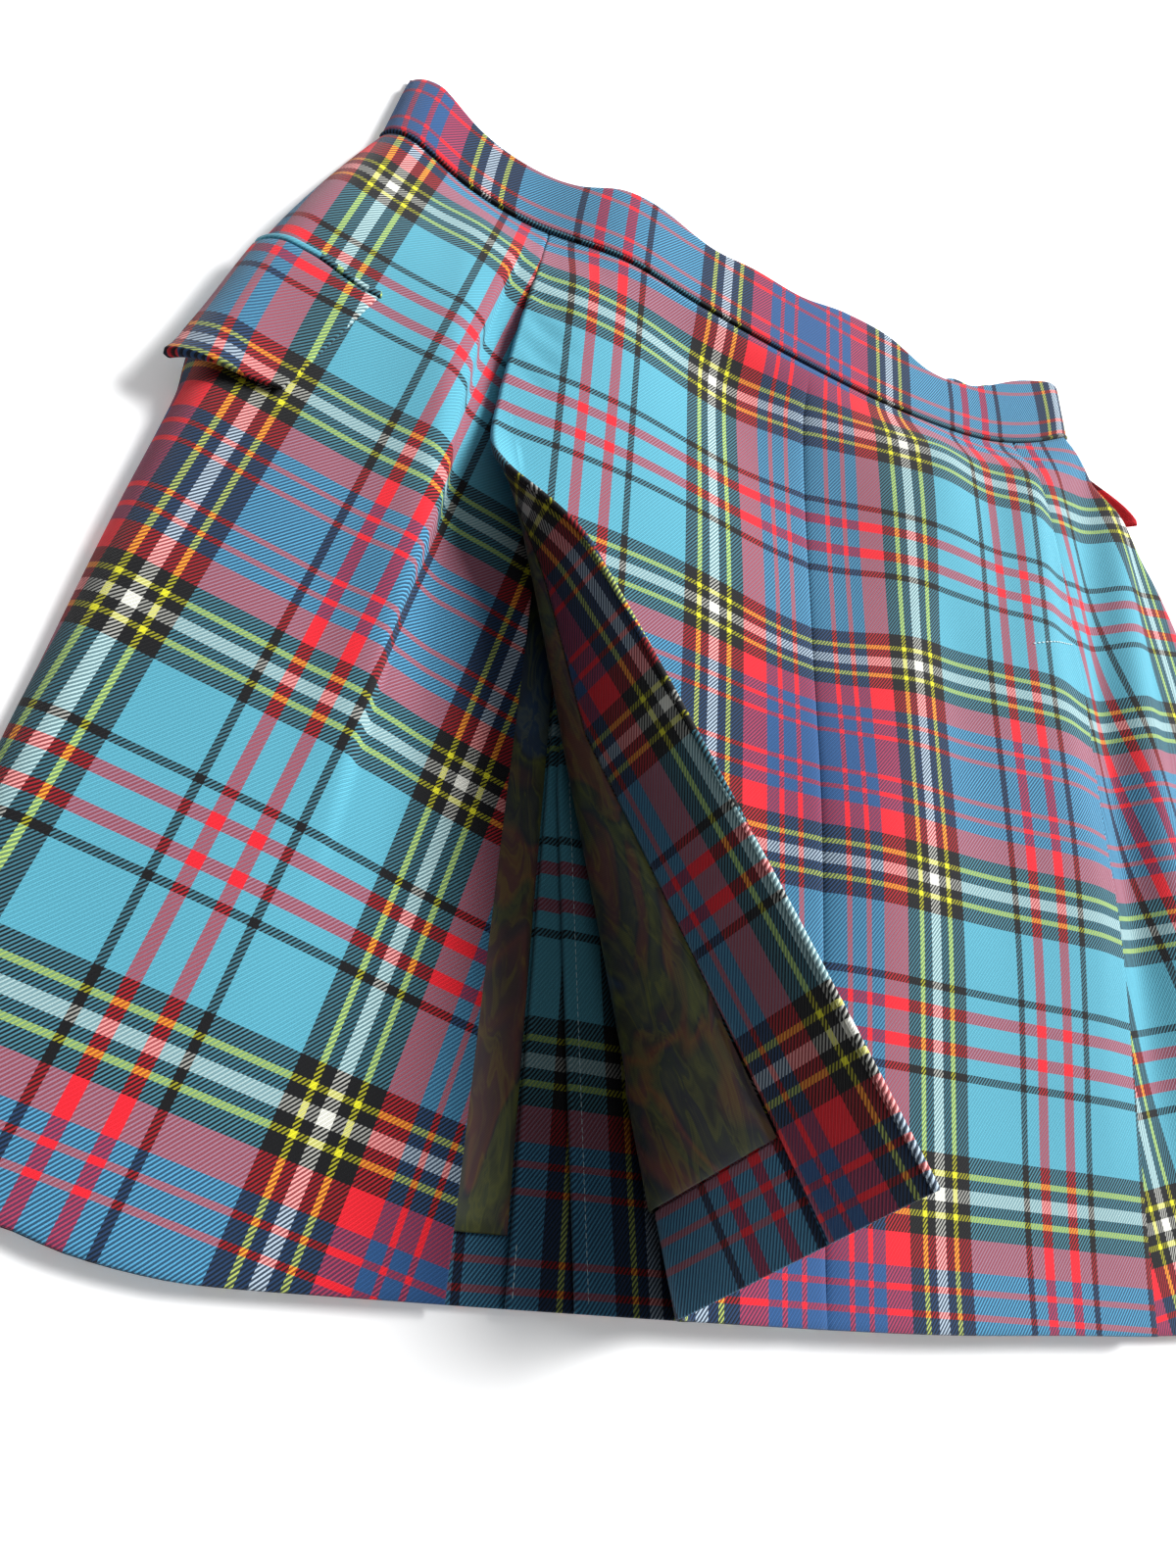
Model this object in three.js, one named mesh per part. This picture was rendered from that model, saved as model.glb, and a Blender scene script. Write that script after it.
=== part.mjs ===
import * as THREE from "three";

// A mini kilt laid flat on its back, in millimetres. X runs across it, Y from hem to waist and Z up.
// The lines below are drawn from the centre front crease (x = 0) and the hem (y = 0). The group that
// holds the pieces is moved by this much, so that the middle of the garment's box is over the origin.
const SHIFT_X = 0.757;
const SHIFT_Y = 215.238;

const CLOTH = 1.2; // wall of a panel
const THIN = 1.0; // wall of a pleat, facing or lining
const BAND = 2.2; // wall of the waistband, two cloths and a stiffener
const GAP = 0.3; // space left between two pieces
const SEAM_HALF = 1.3; // from the waist seam to the edge of what is sewn there: half the piping and a gap
const PIPING_HALF = 0.75;

const HIP_ROLL = 12; // how far in from the side the cloth rounds over
const CENTRE_BACK = -31; // the tube lies rolled a little, so its back seam isn't behind the crease
const APEX = [-131, 287]; // where the apron's free edge starts to lift
const VALLEY_HEM = [-46, 1.4]; // where the line it turns along meets the hem
const TURN = (106 * Math.PI) / 180; // how far the lifted corner is turned over
const bendWide = (r) => 3 + 0.035 * r; // width of the soft bend, by distance from the apex
const FACING_WIDE = 35;
const TURNUP_HIGH = 27;
const PLEAT_TOP = 262;

const clamp = (v, lo, hi) => Math.min(hi, Math.max(lo, v));
const mix = (a, b, t) => a + (b - a) * t;
const ease = (t) => { const c = clamp(t, 0, 1); return c * c * (3 - 2 * c); };
const steps = (n) => Array.from({ length: n + 1 }, (_, i) => i / n);

// A smooth curve through [x, value] knots, level beyond its ends.
function through(knots, x) {
  const n = knots.length;
  if (x <= knots[0][0]) return knots[0][1];
  if (x >= knots[n - 1][0]) return knots[n - 1][1];
  let i = 0;
  while (x > knots[i + 1][0]) i++;
  const slope = (k) => k <= 0 || k >= n - 1 ? 0
    : (knots[k + 1][1] - knots[k - 1][1]) / (knots[k + 1][0] - knots[k - 1][0]);
  const w = knots[i + 1][0] - knots[i][0];
  const t = (x - knots[i][0]) / w;
  const a = knots[i][1], b = knots[i + 1][1];
  const t2 = t * t, t3 = t2 * t;
  return a * (2 * t3 - 3 * t2 + 1) + slope(i) * w * (t3 - 2 * t2 + t)
    + b * (3 * t2 - 2 * t3) + slope(i + 1) * w * (t3 - t2);
}

// A height field: rows of [y, knots across x].
const field = (rows, x, y) => through(rows.map(([ry, knots]) => [ry, through(knots, x)]), y);

// The flat outline
const waistSeam = (x) => 364 + 8e-4 * (x + 10) ** 2 + (x > 100 ? 0.0035 * (x - 100) ** 2 : 0);
const bandTop = (x) => 401 + 8e-4 * (x + 10) ** 2 + (x > 100 ? 0.002 * (x - 100) ** 2 : 0);
const backBandTop = (x) => bandTop(x) + 3 + 4 * Math.exp(-(((x - 100) / 35) ** 2));

function sideEdge(side, y) {
  if (side < 0) {
    if (y > 388) return -185 + 7 * clamp((y - 388) / 33, 0, 1.2);
    return -(185 + 52 * (1 - Math.exp(-(388 - y) / 110)) + 0.07 * (388 - y));
  }
  if (y > 392) return 154 - 2 * clamp((y - 392) / 33, 0, 1.2);
  return 154 + 100 * (1 - Math.exp(-(392 - y) / 95)) + 0.03 * (392 - y);
}

const apronHalf = (y) => 118 + 33 * (1 - Math.exp(-(372 - Math.min(y, 372)) / 160));
const pleatEdge = (y) => 111 + 6 * clamp((230 - y) / 230, 0, 1); // inner fold of a side panel
const valleyX = (y) => APEX[0] + ((APEX[1] - y) * (VALLEY_HEM[0] - APEX[0])) / (APEX[1] - VALLEY_HEM[1]);

// Heights of the undersides of the layers that lie on top, from the waves seen in the cloth
const WAIST_WAVE = [[-178, 9], [-152, 5.5], [-126, 6.5], [-90, 15], [-59, 14], [-3, 11], [52, 7.5],
  [96, 6.5], [130, 10], [152, 13]];
const APRON_WAVE = [
  [0, [[-148, 10.4], [-30, 10.4], [0, 9.6], [40, 9.4], [148, 9.2]]],
  [144, [[-145, 11], [-55, 10.6], [-20, 11], [20, 16], [60, 18], [120, 21], [142, 19]]],
  [240, [[-135, 10.6], [-105, 11.5], [-30, 10.4], [5, 11], [44, 15], [89, 17], [113, 20], [138, 17]]],
  [336, [[-123, 13], [-105, 15], [-83, 14], [-55, 8], [-30, 4.6], [5, 8], [44, 16], [64, 19], [89, 16],
    [113, 20], [126, 17]]],
  [376, WAIST_WAVE],
];
const LEFT_WAVE = [
  [0, [[-250, 4], [-190, 5.4], [-140, 5], [-117, 4.5]]],
  [120, [[-245, 8], [-190, 10], [-159, 9], [-140, 6], [-115, 4.5]]],
  [240, [[-225, 13], [-185, 15], [-156, 16], [-143, 9], [-125, 5.6], [-111, 4.8]]],
  [300, [[-210, 15], [-180, 17], [-152, 17], [-140, 10], [-111, 6]]],
  [345, [[-190, 12], [-165, 13], [-147, 14], [-133, 9.5], [-106, 8]]],
  [388, WAIST_WAVE],
];
const RIGHT_WAVE = [
  [0, [[117, 4.5], [150, 5.2], [200, 5.6], [252, 4]]],
  [144, [[113, 6], [150, 15], [190, 15], [240, 8]]],
  [240, [[111, 7], [145, 15], [190, 13], [222, 9]]],
  [336, [[108, 7], [135, 15], [165, 11], [190, 9]]],
  [388, WAIST_WAVE],
];

const apronHeight = (x, y) => field(APRON_WAVE, x, y);

function sideHeight(side, x, y) {
  const own = field(side < 0 ? LEFT_WAVE : RIGHT_WAVE, x, y);
  const under = side * x < apronHalf(y) + 8;
  if (!under) return own;
  const room = side < 0 && y < 320 ? 3.4 : 1.7;
  const seen = side < 0 && y < 190; // beside the opening the apron is lifted clear
  return seen ? own : Math.min(own, apronHeight(x, y) - room);
}

// One side panel's middle surface, by height up the garment and distance q in from its rim
function rimPoint(side, y, q, rim = GAP + CLOTH, wall = CLOTH, height = sideHeight) {
  const edge = sideEdge(side, y);
  const inner = edge - side * (wall / 2 + HIP_ROLL);
  const top = height(side, inner, y) + wall / 2;
  const arc = (Math.PI / 2) * Math.sqrt((HIP_ROLL ** 2 + (top - rim) ** 2) / 2);
  if (q <= arc) {
    const a = (q / arc) * (Math.PI / 2);
    return [edge - side * (wall / 2 + HIP_ROLL * (1 - Math.cos(a))), y, rim + (top - rim) * Math.sin(a)];
  }
  const x = inner - side * (q - arc);
  return [x, y, height(side, x, y) + wall / 2];
}

const rimArc = (side, y) => {
  const top = sideHeight(side, sideEdge(side, y) - side * (CLOTH / 2 + HIP_ROLL), y) + CLOTH / 2;
  return (Math.PI / 2) * Math.sqrt((HIP_ROLL ** 2 + (top - GAP - CLOTH) ** 2) / 2);
};
const rimDistance = (side, x, y) =>
  rimArc(side, y) + side * (sideEdge(side, y) - side * (CLOTH / 2 + HIP_ROLL) - x);

// The apron's middle surface from its flat pattern: past the valley line it turns up as part of a cone
function apronPoint(x, y) {
  const reach = Math.hypot(VALLEY_HEM[0] - APEX[0], VALLEY_HEM[1] - APEX[1]);
  const ux = (VALLEY_HEM[0] - APEX[0]) / reach, uy = (VALLEY_HEM[1] - APEX[1]) / reach;
  const wx = x - APEX[0], wy = y - APEX[1];
  const along = wx * ux + wy * uy, out = wx * uy - wy * ux;
  if (along <= 0 || out <= 0) return [x, y, apronHeight(x, y) + CLOTH / 2];
  const r = Math.hypot(wx, wy), s = Math.atan2(out, along) * r;
  const turn = Math.max(1e-3, TURN * ease(r / 80)), bend = bendWide(r), radius = bend / turn;
  const a = Math.min(s, bend) / radius, rest = Math.max(0, s - bend);
  const side = radius * Math.sin(a) + rest * Math.cos(turn);
  const up = radius * (1 - Math.cos(a)) + rest * Math.sin(turn);
  const d = [ux + (side / r) * uy, uy - (side / r) * ux, up / r];
  const k = r / Math.hypot(...d);
  const foot = apronHeight(APEX[0] + ux * r, APEX[1] + uy * r) + CLOTH / 2;
  return [APEX[0] + d[0] * k, APEX[1] + d[1] * k, foot + d[2] * k];
}

function normalAt(point, u, v, e = 0.4) {
  const a = new THREE.Vector3(...point(u + e, v)).sub(new THREE.Vector3(...point(u - e, v)));
  const b = new THREE.Vector3(...point(u, v + e)).sub(new THREE.Vector3(...point(u, v - e)));
  return a.cross(b).normalize();
}

function onSide(side, q, y, out) {
  const point = (a, b) => rimPoint(side, b, a);
  const p = point(q, y), n = normalAt(point, Math.max(q, 0.5), y).multiplyScalar(-side);
  return [p[0] + n.x * out, p[1] + n.y * out, p[2] + n.z * out];
}

const object = new THREE.Group();
const garment = new THREE.Group();
garment.position.set(-SHIFT_X, -SHIFT_Y, 0);
object.add(garment);

const CHECK = { color: 0x7b6f8c, roughness: 0.85, metalness: 0 }; // wool twill, its colours mixed
const MARBLED = { color: 0x4a4a2c, roughness: 0.55, metalness: 0 }; // lining satin
const EDGING = { color: 0x27406b, roughness: 0.8, metalness: 0 }; // piping and welt cut from the check
const TAPE = { color: 0x2f5f7a, roughness: 0.7, metalness: 0 }; // zip

// The way each point of a grid of rows faces
function facings(rows) {
  const at = (i, j) => new THREE.Vector3(...rows[clamp(j, 0, rows.length - 1)][clamp(i, 0, rows[0].length - 1)]);
  return rows.map((row, j) => row.map((_, i) =>
    at(i + 1, j).sub(at(i - 1, j)).cross(at(i, j + 1).sub(at(i, j - 1))).normalize()));
}

// Add a closed mesh of a wall from rows of middle points, half its thickness to either side.
function wall(name, rows, thick, cloth = CHECK, normals = facings(rows)) {
  const nv = rows.length, nu = rows[0].length;
  const corners = [];
  for (const half of [thick / 2, -thick / 2]) {
    rows.forEach((row, j) => row.forEach((p, i) =>
      corners.push(new THREE.Vector3(...p).addScaledVector(normals[j][i], half))));
  }
  const top = (i, j) => j * nu + i, low = (i, j) => nv * nu + j * nu + i;
  const faces = [];
  const quad = (a, b, c, d) => faces.push(a, b, c, a, c, d);
  for (let j = 0; j + 1 < nv; j++) for (let i = 0; i + 1 < nu; i++) {
    quad(top(i, j), top(i + 1, j), top(i + 1, j + 1), top(i, j + 1));
    quad(low(i, j), low(i, j + 1), low(i + 1, j + 1), low(i + 1, j));
  }
  for (let i = 0; i + 1 < nu; i++) {
    quad(low(i, 0), low(i + 1, 0), top(i + 1, 0), top(i, 0));
    quad(top(i, nv - 1), top(i + 1, nv - 1), low(i + 1, nv - 1), low(i, nv - 1));
  }
  for (let j = 0; j + 1 < nv; j++) {
    quad(low(0, j + 1), low(0, j), top(0, j), top(0, j + 1));
    quad(low(nu - 1, j), low(nu - 1, j + 1), top(nu - 1, j + 1), top(nu - 1, j));
  }
  const geometry = new THREE.BufferGeometry();
  geometry.setAttribute("position", new THREE.Float32BufferAttribute(corners.flatMap((p) => p.toArray()), 3));
  geometry.setIndex(faces);
  geometry.computeVertexNormals();
  const mesh = new THREE.Mesh(geometry, new THREE.MeshStandardMaterial(cloth));
  mesh.name = name;
  garment.add(mesh);
}

const HEM_TO_WAIST = steps(17);
// Front apron. Its columns keep to the facing's edge, the valley and the right fold, its rows to the
// turned-up hem, so what it carries inside can be made from the same points.
const span = (from, to, n) => steps(n).map((t) => mix(from, to, t));
function apronColumns(y) {
  const edge = -apronHalf(y), r = Math.hypot(APEX[1] - y, valleyX(y) - APEX[0]);
  const valley = Math.max(y < APEX[1] ? valleyX(y) : edge, edge + 6);
  const faced = Math.min(edge + FACING_WIDE, edge + 0.7 * (valley - edge));
  const bent = Math.max(faced + GAP + 0.4, valley - 1.06 * bendWide(r));
  const past = Math.min(valley + 45, apronHalf(y) - 60);
  return [...span(edge, faced, 4), ...span(faced + GAP, bent, 2), ...span(bent, valley, 5).slice(1),
    ...span(valley, past, 4).slice(1), ...span(past, apronHalf(y), 14).slice(1)];
}
const COLUMN = { faced: 4, lined: 5, past: 16 };
const LEVEL_ROWS = [0, 13, TURNUP_HIGH, TURNUP_HIGH + GAP, ...span(45, 285, 12), 300];
const apronFlat = [...LEVEL_ROWS.map((y) => apronColumns(y).map((x) => [x, y])),
  ...[0.33, 0.66, 1].map((t) => apronColumns(mix(300, 372, t)).map((x) => [x, mix(300, waistSeam(x) - SEAM_HALF, t)]))];
const apronRows = apronFlat.map((row) => row.map(([x, y]) => apronPoint(x, y)));
const apronFacings = facings(apronRows);
wall("front_apron", apronRows, CLOTH, CHECK, apronFacings);

// What the apron carries inside: the facing down its free edge, the turned-up hem and the lining
function insideApron(name, cloth, [firstColumn, lastColumn], [firstRow, lastRow]) {
  const cut = (grid) => grid.slice(firstRow, lastRow + 1).map((row) => row.slice(firstColumn, lastColumn + 1));
  const normals = cut(apronFacings);
  const rows = cut(apronRows).map((row, j) => row.map((p, i) => new THREE.Vector3(...p)
    .addScaledVector(normals[j][i], -(CLOTH / 2 + GAP + THIN / 2)).toArray()));
  wall(name, rows, THIN, cloth, normals);
}
const rowAt = (y) => LEVEL_ROWS.findIndex((v) => v >= y);
insideApron("apron_facing", CHECK, [0, COLUMN.faced], [0, rowAt(264)]);
insideApron("apron_hem_turnup", CHECK, [COLUMN.lined, COLUMN.past], [0, 2]);
insideApron("apron_lining", MARBLED, [COLUMN.lined, COLUMN.past], [3, rowAt(244)]);

// Side panels, rounding over at the hip to meet the back
for (const [side, word] of [[-1, "left"], [1, "right"]]) {
  const rows = HEM_TO_WAIST.map((v) => {
    const row = [];
    const add = (q) => {
      let y = v * 380, p = null;
      for (let k = 0; k < 25; k++) {
        p = rimPoint(side, y, q(y));
        y = v * (waistSeam(p[0]) - SEAM_HALF);
      }
      row.push(rimPoint(side, y, q(y)));
    };
    steps(5).forEach((t) => add((y) => t * rimArc(side, y)));
    steps(9).slice(1).forEach((t) => add((y) => mix(rimArc(side, y), rimDistance(side, side * pleatEdge(y), y), t)));
    return side < 0 ? row : row.reverse();
  });
  wall(`${word}_side_panel`, rows, CLOTH);
}

// Pleats under the apron: one cloth folded back and forth in two knife pleats
for (const [side, word] of [[-1, "left"], [1, "right"]]) {
  const rows = [0, 40, 90, 150, PLEAT_TOP].map((y) => {
    const second = -80.5 - 0.112 * Math.min(y, 150);
    const path = [[-126, 2.3]];
    const bend = (x, z, way) => steps(6).forEach((t) => path.push(
      [x + way * 0.7 * Math.sin(t * Math.PI), z + 0.7 - 0.7 * Math.cos(t * Math.PI)]));
    bend(-88.7, 2.3, 1);
    bend(-98.8, 3.7, -1);
    bend(-62.7, 5.1, 1);
    bend(second + 0.7, 6.5, -1);
    path.push([-30, 7.9]);
    const row = path.map(([x, z]) => [-side * x, y, z]);
    return side < 0 ? row : row.reverse();
  });
  wall(`${word}_pleats`, rows, THIN);
}
wall("pleat_lining", [18, 100, 180, 258].map((y) => span(-135, -100.7, 2).map((x) => [x, y, 3.6])), THIN, MARBLED);

// Back panels on the table and the zip tape inside them
for (const [side, word] of [[-1, "left"], [1, "right"]]) {
  const rows = HEM_TO_WAIST.map((v) => {
    const row = steps(6).map((u) => {
      let y = v * 380, x = 0;
      for (let k = 0; k < 25; k++) {
        x = mix(sideEdge(side, y), CENTRE_BACK + side * (GAP / 2), u);
        y = v * (waistSeam(x) - SEAM_HALF);
      }
      return [x, y, CLOTH / 2];
    });
    return side < 0 ? row : row.reverse();
  });
  wall(`back_${word}`, rows, CLOTH);
}
wall("back_zip", [200, 280, 355].map((y) => span(CENTRE_BACK - 12, CENTRE_BACK + 12, 2).map((x) => [x, y, 2])), THIN, TAPE);

// Waistband: the front goes over the hips in one piece, the back is in two halves at the zip
const bandEnd = (side, y) => sideEdge(side, y);
const waistHeight = (side, x) => through(WAIST_WAVE, x);
const bandRim = BAND + 2 * GAP;
const bandArc = (side) => {
  const top = waistHeight(side, sideEdge(side, 400) - side * (BAND / 2 + HIP_ROLL)) + BAND / 2;
  return (Math.PI / 2) * Math.sqrt((HIP_ROLL ** 2 + (top - bandRim) ** 2) / 2);
};
const bandStations = [
  ...steps(5).map((t) => [-1, (y) => t * bandArc(-1)]),
  ...span(-164, 133, 34).map((x) => [0, () => x]),
  ...steps(5).reverse().map((t) => [1, (y) => t * bandArc(1)]),
];
function bandPoint([side, q], v, from, to, thick) {
  let y = 400, p = [q(0), 0, 0];
  for (let k = 0; k < 25; k++) {
    if (side) p = rimPoint(side, y, q(y), bandRim, thick, waistHeight);
    y = mix(from(p[0]), to(p[0]), v);
  }
  return side ? rimPoint(side, y, q(y), bandRim, thick, waistHeight) : [p[0], y, waistHeight(0, p[0]) + thick / 2];
}
wall("waistband_front", steps(3).map((v) => bandStations.map((s) =>
  bandPoint(s, v, (x) => waistSeam(x) + SEAM_HALF, bandTop, BAND))), BAND);
wall("waist_piping", steps(1).map((v) => bandStations.map((s) =>
  bandPoint(s, v, (x) => waistSeam(x) - PIPING_HALF, (x) => waistSeam(x) + PIPING_HALF, BAND))), BAND, EDGING);
for (const [side, word] of [[-1, "left"], [1, "right"]]) {
  const rows = steps(2).map((v) => {
    const row = steps(9).map((u) => {
      let y = 400, x = 0;
      for (let k = 0; k < 25; k++) {
        x = mix(bandEnd(side, y), CENTRE_BACK + side * (GAP / 2), u);
        y = mix(waistSeam(x) + SEAM_HALF, backBandTop(x), v);
      }
      return [x, y, BAND / 2];
    });
    return side < 0 ? row : row.reverse();
  });
  wall(`waistband_back_${word}`, rows, BAND);
}

// Hip flaps: the left one lies on its panel and rounds over the hip, its welt along the top
const FLAP = 1.8;
const ON_PANEL = CLOTH / 2 + GAP + FLAP / 2;
const flapTop = (t) => [mix(-217, -180, t), through([[0, 307], [0.46, 305], [1, 297]], t)];
const flapLow = (t) => [mix(-232, -203, t), through([[0, 250], [0.3, 249], [1, 249]], t)];
const flapRows = steps(6).map((v) => {
  const round = ease(v / 0.12) ** 0.5;
  return steps(8).map((t) => {
    const low = flapLow(t), high = flapTop(t);
    const x = mix(high[0], low[0], v), y = mix(high[1], low[1], v);
    const outer = mix(rimArc(-1, y) * 0.35, rimDistance(-1, mix(-180, -203, v) + 1.5 * (1 - round), y), t);
    return onSide(-1, outer, y, ON_PANEL + 5 * (1 - t) ** 3 * v ** 3);
  });
}).reverse();
wall("left_hip_flap", flapRows, FLAP);
wall("left_flap_welt", steps(1).map((v) => steps(8).map((t) => {
  const y = flapTop(t)[1] + GAP + 2.6 * v;
  return onSide(-1, mix(rimArc(-1, y) * 0.35, rimDistance(-1, -179, y), t), y, ON_PANEL);
})), FLAP, EDGING);

// The right one sits round the hip, so only its outer end stands out past the side
wall("right_hip_flap", steps(5).map((v) => {
  const y = mix(358, 389, v), edge = sideEdge(1, y);
  const out = 9 * ease(1 - v) ** 0.7 * ease((v + 0.25) / 0.4);
  return steps(3).map((t) => [edge + 2.2 + out * t + 1.2 * t, y, 2.6 + 5 * t]);
}), FLAP);

export default object;
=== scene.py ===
# %% [markdown]
# A mini kilt laid flat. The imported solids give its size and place. Each piece of cloth is made again
# here as a thin shell on the same form, fine enough to take soft creases, and gets its weave.

# %% Load the frame
import bpy
import math
import numpy as np
from mathutils import Matrix


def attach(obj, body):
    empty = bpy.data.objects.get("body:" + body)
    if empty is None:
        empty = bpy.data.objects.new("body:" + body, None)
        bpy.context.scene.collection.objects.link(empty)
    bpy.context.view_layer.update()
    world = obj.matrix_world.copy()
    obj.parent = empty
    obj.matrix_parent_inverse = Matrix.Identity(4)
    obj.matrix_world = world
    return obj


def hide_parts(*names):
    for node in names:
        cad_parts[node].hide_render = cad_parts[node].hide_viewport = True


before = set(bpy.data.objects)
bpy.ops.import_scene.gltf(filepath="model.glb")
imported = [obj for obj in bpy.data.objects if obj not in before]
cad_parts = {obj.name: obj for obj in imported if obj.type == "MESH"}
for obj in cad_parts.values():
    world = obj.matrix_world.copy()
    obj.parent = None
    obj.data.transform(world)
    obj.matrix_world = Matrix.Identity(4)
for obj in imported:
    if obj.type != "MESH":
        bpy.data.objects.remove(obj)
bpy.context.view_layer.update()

# %% [markdown]
# The kilt is drawn as a pattern cutter would: millimetres, across from the centre front crease and
# up from the hem. Smooth curves through a few measured knots give outlines and heights, so a wave
# in the cloth is one small table instead of hundreds of points.

# %% Measures and smooth curves
SHIFT = np.array([0.757, 215.238, 0.0])  # the pattern's origin to the middle of the box
CLOTH, THIN, BAND, GAP = 1.2, 1.0, 2.2, 0.3
SEAM_HALF, PIPING_HALF = 1.05, 0.85
HIP_ROLL = 12.0
CENTRE_BACK = -31.0
APEX, VALLEY_HEM = np.array([-131.0, 287.0]), np.array([-46.0, 1.4])
TURN = math.radians(106)
FACING_WIDE, TURNUP_HIGH, PLEAT_TOP = 35.0, 27.0, 262.0
SEAM_AT_CREASE, SIDE_LONG, FRONT_LONG = 364.0, 380.0, 372.0
BAND_HIGH, BACK_BAND_HIGH, IN_BAND = 36.0, 38.0, 400.0
ARC_STEPS = 15  # columns of points round a hip
SETTLING = 30  # rounds in which a grid settles on curves that depend on its own points


def through(knots, x):
    """A smooth curve through (x, value) knots, level beyond its ends; a value may be an array."""
    x = np.asarray(x, float)
    at = [k[0] for k in knots]
    val = [np.broadcast_to(np.asarray(k[1], float), x.shape) for k in knots]
    last = len(at) - 1
    slope = [np.zeros(x.shape) if k in (0, last) else (val[k + 1] - val[k - 1]) / (at[k + 1] - at[k - 1])
             for k in range(last + 1)]
    out = np.where(x <= at[0], val[0], val[last])
    for i in range(last):
        w = at[i + 1] - at[i]
        t = np.clip((x - at[i]) / w, 0, 1)
        h = (val[i] * (2 * t**3 - 3 * t**2 + 1) + slope[i] * w * (t**3 - 2 * t**2 + t)
             + val[i + 1] * (3 * t**2 - 2 * t**3) + slope[i + 1] * w * (t**3 - t**2))
        out = np.where((x > at[i]) & (x <= at[i + 1]), h, out)
    return out


def field(rows, x, y):
    return through([(ry, through(knots, x)) for ry, knots in rows], y)


def ease(t):
    c = np.clip(t, 0, 1)
    return c * c * (3 - 2 * c)


def mix(a, b, t):
    return a + (b - a) * t


# %% [markdown]
# The outline of the flat kilt: a curved waist seam, a contoured band over it, hips that swell from
# the waist and a straight hem. These are the same curves as the solids have.

# %% Outline
def waist_seam(x):
    return SEAM_AT_CREASE + 8e-4 * (x + 10) ** 2 + 0.0035 * np.maximum(x - 100, 0) ** 2


BAND_EDGE = [(-180, 422), (-167, 420), (-148, 410), (-129, 404), (-110, 401), (-92, 405), (-73, 404),
             (-50, 398.5), (-29, 400), (-4, 399.6), (20, 405), (46, 406), (71, 398.5), (98, 403),
             (127, 418), (150, 423)]


def band_top(x):
    return through(BAND_EDGE, x)


def back_band_top(x):
    hidden = band_top(x) + 1.3 * (through(WAIST_WAVE, x) - 1.5) - 2.5 + 5 * np.exp(-(((x - 92) / 9) ** 2))
    return np.minimum(hidden, 404 + 8e-4 * (x + 10) ** 2 + 0.002 * np.maximum(x - 100, 0) ** 2)


LEFT_EASE = [(120, 0), (150, 1), (200, 1.6), (245, 1.2), (265, -2.5), (290, -3.5), (320, -2.8), (350, -1.6),
             (388, -1.6), (421, -2.4)]
RIGHT_EASE = [(250, 0), (300, 3), (421, 3)]


def side_edge(side, y):
    return hip_curve(side, y) + through(LEFT_EASE if side < 0 else RIGHT_EASE, y)


def hip_curve(side, y):
    if side < 0:
        low = -(185 + 52 * (1 - np.exp(-np.maximum(388 - y, 0) / 110)) + 0.07 * np.maximum(388 - y, 0))
        return np.where(y > 388, -185 + 7 * np.clip((y - 388) / 33, 0, 1.2), low)
    low = 154 + 100 * (1 - np.exp(-np.maximum(392 - y, 0) / 95)) + 0.03 * np.maximum(392 - y, 0)
    return np.where(y > 392, 154 - 2 * np.clip((y - 392) / 33, 0, 1.2), low)


HEM_RISE = [(-248, 15), (-222, 10.2), (-211, 6.6), (-202, 4.4), (-192, 2.6), (-180, 1.2), (-150, 0.6),
            (-40, 0), (40, 0.6), (100, 3), (150, 5), (200, 9), (252, 14)]


def from_hem(x, y):
    """The hem rises a little towards both sides, and the cloth just above it goes with it."""
    return y + through(HEM_RISE, x) * (1 - ease(y / 120))


def apron_half(y):
    return 118 + 33 * (1 - np.exp(-(372 - np.minimum(y, 372)) / 160))


def apron_right(y):
    """The folded right edge of the apron, drawn in a little below the tack."""
    return apron_half(y) - 8.5 * ease((262 - y) / 90)


def pleat_edge(y):
    return 111 + 6 * np.clip((230 - y) / 230, 0, 1)


def valley_x(y):
    return APEX[0] + (APEX[1] - y) * (VALLEY_HEM[0] - APEX[0]) / (APEX[1] - VALLEY_HEM[1])


print("flat width at the hem, mm:", round(float(side_edge(1, 0.0) - side_edge(-1, 0.0))))

# %% [markdown]
# Cloth that lies on a table is never quite flat. Rows of heights across the kilt give the long soft
# waves that bend the lines of its check.

# %% Long waves
WAIST_WAVE = [(-178, 9), (-152, 5.5), (-126, 6.5), (-90, 15), (-59, 14), (-3, 11), (52, 7.5),
              (96, 6.5), (130, 10), (152, 13)]
APRON_WAVE = [
    (0, [(-148, 10.4), (-30, 10.4), (0, 9.6), (40, 9.4), (148, 9.2)]),
    (144, [(-145, 11), (-55, 10.6), (-20, 10.6), (22, 17), (50, 17), (75, 17.5), (118, 21.5), (142, 18)]),
    (240, [(-135, 10.6), (-105, 11.5), (-30, 10.0), (5, 10.4), (42, 16.2), (66, 15), (89, 17.5), (114, 21),
           (138, 16)]),
    (336, [(-123, 13), (-105, 15), (-83, 14), (-55, 8), (-30, 4.6), (5, 8), (44, 16), (64, 19), (89, 16),
           (113, 20), (126, 17)]),
    (364, WAIST_WAVE),
]
LEFT_WAVE = [
    (0, [(-250, 4), (-190, 5.4), (-140, 5), (-117, 4.5)]),
    (120, [(-245, 8), (-190, 10), (-159, 9), (-140, 6), (-115, 4.5)]),
    (240, [(-225, 13), (-185, 15), (-156, 16), (-143, 9), (-125, 5.6), (-111, 4.8)]),
    (296, [(-210, 15), (-180, 17), (-155, 18), (-142, 13), (-126, 8), (-111, 6)]),
    (336, [(-190, 12), (-165, 13), (-149, 15), (-136, 14), (-122, 13), (-106, 10)]),
    (364, WAIST_WAVE),
]
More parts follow.
